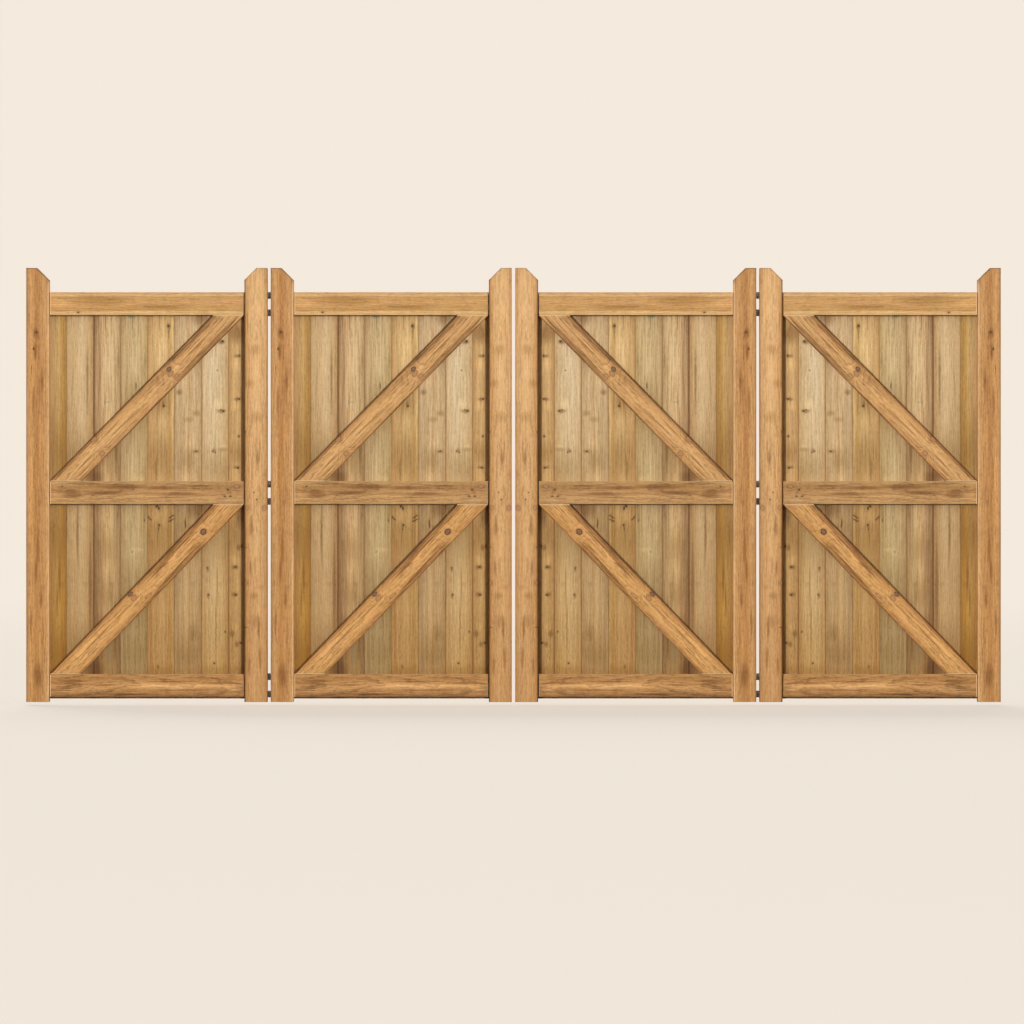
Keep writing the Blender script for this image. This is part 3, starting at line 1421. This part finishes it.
@dataclass
class Ironmongery:
    """Hooks, bands and fold hinges of one half of the gate, with their screws."""

    side: str
    hanging: LeafPlace
    folding: LeafPlace
    seat: float = LeafSizes.stile_t
    plate_t: float = 0.006
    easing: float = 0.0008
    band_screws: tuple[float, ...] = (0.085, 0.19, 0.295, 0.40)
    arm_screws: tuple[float, ...] = (0.927, 0.959)
    plate_screws: tuple[float, ...] = (0.050, 0.077)
    screw_rise: float = 0.034
    washer_t: float = 0.0012
    washer_sides: int = 24
    washer_flare: Pair = (1.35, 1.28)
    head_taper: float = 0.97
    hinge_z: Triple = (0.0675, 0.868, 1.6525)
    bolt_x: float = 0.017
    bolt_z: float = 0.038

    def softened(self, kind: str, body: str) -> Piece:
        """Copies a CAD node with its edges eased as on dipped steel.

        Args:
            kind: the node's name without its side.
            body: the CAD body that it moves with.

        Returns:
            The piece that stands for the node.
        """
        node = f"{self.side}_{kind}"
        mesh = bmesh.new()
        mesh.from_mesh(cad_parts[node].data)
        bmesh.ops.remove_doubles(mesh, verts=mesh.verts, dist=WELD)
        bmesh.ops.dissolve_limit(mesh, angle_limit=STEEL_FLAT, verts=mesh.verts, edges=mesh.edges)
        sharp = [e for e in mesh.edges if e.is_manifold and e.calc_face_angle(0.0) > STEEL_SHARP]
        bevel(mesh, sharp, self.easing, 2)
        return fastening(mesh, f"{node}_eased", body, node)

    def screw(self, mesh: Mesh, spot: Vector, head: Head, out: float) -> None:
        """Adds a screw with its washer to a mesh.

        Args:
            mesh: the mesh that takes it.
            spot: the middle of its seat.
            head: its head.
            out: the way that it looks along Y, 1 or -1.
        """
        radius, height, sides, share = head.value
        turn = Matrix.Translation(spot) @ Matrix.Rotation(-out * math.pi / 2, 4, "X")
        low, high = self.washer_flare
        stud(mesh, turn, (radius * low, radius * high), self.washer_t, self.washer_sides)
        drum = height - self.washer_t
        raised = turn @ Matrix.Translation((0, 0, self.washer_t))
        made = stud(mesh, raised, (radius, radius * self.head_taper), drum, sides)
        top = max({f for v in made for f in v.link_faces}, key=lambda f: f.calc_center_median().y * out)
        bevel(mesh, list(top.edges), drum * share, 3)

    def screws(self, name: str, place: LeafPlace, columns: tuple[float, ...], rows: list[float],
               head: Head) -> Piece:
        """Drives screws through plates on a leaf's boarded face.

        Args:
            name: the piece's name without its side.
            place: the leaf.
            columns: places across the leaf.
            rows: places up the leaf.
            head: the screws' heads.

        Returns:
            The piece.
        """
        mesh = bmesh.new()
        for x, z in product(columns, rows):
            self.screw(mesh, place.matrix() @ Vector((x, self.seat + self.plate_t, z)), head, 1.0)
        return fastening(mesh, f"{self.side}_{name}", place.body)

    def wall_bolts(self) -> Piece:
        """Fills the four holes of both hook plates with low domed heads.

        Returns:
            The piece that holds all the heads.
        """
        low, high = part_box(f"{self.side}_hooks")
        mesh = bmesh.new()
        middle = (low.x + high.x) / 2
        levels = (0.0, self.hinge_z[2] - self.hinge_z[0])
        for level, x, z in product(levels, (-self.bolt_x, self.bolt_x), (-self.bolt_z, self.bolt_z)):
            self.screw(mesh, Vector((middle + x, high.y - self.plate_t, level + z)), Head.DOME, -1.0)
        return fastening(mesh, f"{self.side}_wall_bolts", "wall_hooks")

    def build(self) -> list[Piece]:
        """Builds the half's pieces.

        Returns:
            The pieces.
        """
        hung, fold = self.hanging.body, self.folding.body
        bodies = {
            "hooks": "wall_hooks", "bands": hung, "fold_arms": hung, "fold_plates": fold, "fold_pins": hung}
        made = [self.softened(kind, body) for kind, body in bodies.items()]
        ends = [self.hinge_z[0], self.hinge_z[2]]
        rows = [z + rise for z in self.hinge_z for rise in (-self.screw_rise, self.screw_rise)]
        made.append(self.screws("band_screws", self.hanging, self.band_screws, ends, Head.HEX))
        made.append(self.screws("arm_screws", self.hanging, self.arm_screws, rows, Head.PAN))
        made.append(self.screws("plate_screws", self.folding, self.plate_screws, rows, Head.PAN))
        made.append(self.wall_bolts())
        return made


# Studio


@dataclass(frozen=True)
class Lamp:
    """A broad lamp: the way that its light goes, its strength and its apparent width in degrees."""

    name: str
    travel: Triple
    strength: float
    width: float
    own_half: bool = False


@dataclass
class Studio:
    """Pale seamless floor and backdrop, soft light and the camera of a straight front view."""

    backdrop: Colour = (244, 234, 221)
    paper: tuple[Colour, Colour] = ((250, 241, 229), (252, 244, 233))
    paper_bounce: Shade = (0.18, 0.16, 0.14, 1.0)
    sensor: float = 36.0
    distance: float = 30.0
    reach: float = 400.0
    view_width: float = 4.2465
    aim: Pair = (1.9908, 0.7205)
    floor_drop: float = 0.015
    floor_radius: float = 150.0
    fill: float = 0.08
    paper_fleck: Triple = (3.0, 3.0, 3.0)
    fading: Span = (2.0, 40.0, 0.65, 1.0)
    paired: tuple[Lamp, ...] = (
        Lamp("key", (-0.35, 1.0, -0.13), 2.0, 5.0, True),
        Lamp("soft_key", (-0.40, 1.0, -0.60), 0.86, 50.0, True),
        Lamp("side_light", (1.0, 0.12, -0.45), 0.6, 40.0))
    single: tuple[Lamp, ...] = (
        Lamp("top_light", (0.0, 0.42, -1.0), 0.35, 50.0),
        Lamp("back_light", (0.2, -1.0, -0.7), 2.2, 40.0))

    def camera(self) -> None:
        """Sets the long lens camera square to the gate's braced face."""
        data = bpy.data.cameras.new("front_camera")
        data.sensor_width = self.sensor
        data.lens = self.sensor * self.distance / self.view_width
        data.clip_end = self.reach
        made = bpy.data.objects.new("front_camera", data)
        made.location = (self.aim[0], CAD_BOX[0].y - self.distance, self.aim[1])
        made.rotation_euler = (math.pi / 2, 0.0, 0.0)
        bpy.context.scene.collection.objects.link(made)
        bpy.context.scene.camera = made

    def hang(self, lamp: Lamp, name: str, way: float = 1.0, pieces: Optional[list[Piece]] = None) -> None:
        """Hangs a lamp.

        Args:
            lamp: the lamp.
            name: its name in the scene.
            way: 1, or -1 to mirror it from left to right.
            pieces: the pieces that it lights, or everything.
        """
        x, y, z = lamp.travel
        data = bpy.data.lights.new(name, "SUN")
        data.energy = lamp.strength
        data.angle = math.radians(lamp.width)
        made = bpy.data.objects.new(name, data)
        made.rotation_euler = Vector((x * way, y, z)).to_track_quat("-Z", "Y").to_euler()
        bpy.context.scene.collection.objects.link(made)
        if pieces:
            group = bpy.data.collections.new(f"{name}_pieces")
            for piece in pieces:
                group.objects.link(piece)
            made.light_linking.receiver_collection = group

    def world(self) -> None:
        """Lights the scene evenly and shows the backdrop to the camera and to reflections."""
        made = bpy.data.worlds.new("studio")
        bpy.context.scene.world = made
        made.use_nodes = True
        sketch = Sketch(made.node_tree)
        path = sketch.node("LightPath").outputs
        seen = sketch.math("MAXIMUM", path["Is Camera Ray"], path["Is Glossy Ray"])
        seen = sketch.math("MAXIMUM", seen, path["Is Transmission Ray"])
        shown = sketch.blend(seen, (self.fill, self.fill, self.fill, 1.0), linear(self.backdrop))
        sketch.fill(made.node_tree.nodes["Background"], {"Color": shown, "Strength": 1.0})

    def floor(self) -> None:
        """Lays a wide pale floor that takes the shadow and fades into the backdrop."""
        low, high = CAD_BOX
        mesh = bmesh.new()
        spot = Matrix.Translation(((low.x + high.x) / 2, 0.0, low.z - self.floor_drop))
        bmesh.ops.create_circle(mesh, cap_ends=True, segments=96, radius=self.floor_radius, matrix=spot)
        bmesh.ops.recalc_face_normals(mesh, faces=mesh.faces)
        if next(iter(mesh.faces)).normal.z < 0:
            bmesh.ops.reverse_faces(mesh, faces=mesh.faces)
        data = bpy.data.meshes.new("studio_floor")
        mesh.to_mesh(data)
        mesh.free()
        data.materials.append(self.floor_paper(tuple(spot.translation)))
        floor = bpy.data.objects.new("studio_floor", data)
        bpy.context.scene.collection.objects.link(floor)

    def floor_paper(self, middle: Triple) -> bpy.types.Material:
        """Makes the floor's pale paper, which the camera sees fade into the backdrop.

        Args:
            middle: the point that the fading starts around.

        Returns:
            The material.
        """
        made, sketch, surface = new_material("floor_paper")
        path = sketch.node("LightPath").outputs["Is Camera Ray"]
        place = sketch.node("TexCoord").outputs["Object"]
        fleck = sketch.noise(place, self.paper_fleck, 2.0, 0.5)
        paper = sketch.blend(fleck, *(linear(tone) for tone in self.paper))
        sketch.fill(surface, {
            "Base Color": sketch.blend(path, self.paper_bounce, paper),
            "Roughness": 0.95, "Specular IOR Level": 0.1})
        glow = sketch.node("Emission", linear(self.backdrop))
        away = sketch.vector("LENGTH", sketch.vector("SUBTRACT", place, middle))
        far = sketch.math("MULTIPLY", sketch.span(away, *self.fading), path)
        mix = sketch.node("MixShader", far, surface.outputs[0], glow.outputs[0])
        sketch.fill(made.node_tree.nodes["Material Output"], {"Surface": mix.outputs[0]})
        return made

    def build(self, halves: dict[Hand, list[Piece]]) -> None:
        """Builds the studio.

        Args:
            halves: the pieces of each half of the gate, which the key lights meet from the middle.
        """
        bpy.context.scene.view_settings.view_transform = "Standard"
        self.camera()
        self.world()
        self.floor()
        for hand, pieces in halves.items():
            for lamp in self.paired:
                name = f"{lamp.name}_{hand.name.lower()}"
                self.hang(lamp, name, hand.value, pieces if lamp.own_half else None)
        for lamp in self.single:
            self.hang(lamp, lamp.name)


def main() -> None:
    """Builds the gate's leaves, ironmongery and studio in order and logs each piece."""
    logging.basicConfig(level=logging.INFO, format="%(name)s: %(message)s")
    noise.seed_set(DENT_SEED)
    places = (
        LeafPlace(1, Hand.LEFT, "left_hanging_leaf"), LeafPlace(2, Hand.LEFT, "left_folding_leaf"),
        LeafPlace(3, Hand.RIGHT, "right_folding_leaf"), LeafPlace(4, Hand.RIGHT, "right_hanging_leaf"),
    )
    halves: dict[Hand, list[Piece]] = {Hand.LEFT: [], Hand.RIGHT: []}
    for place in places:
        halves[place.hand] += Leaf(place).build()
    halves[Hand.LEFT] += Ironmongery("left", places[0], places[1]).build()
    halves[Hand.RIGHT] += Ironmongery("right", places[3], places[2]).build()
    Studio().build(halves)


if __name__ == "__main__":
    main()
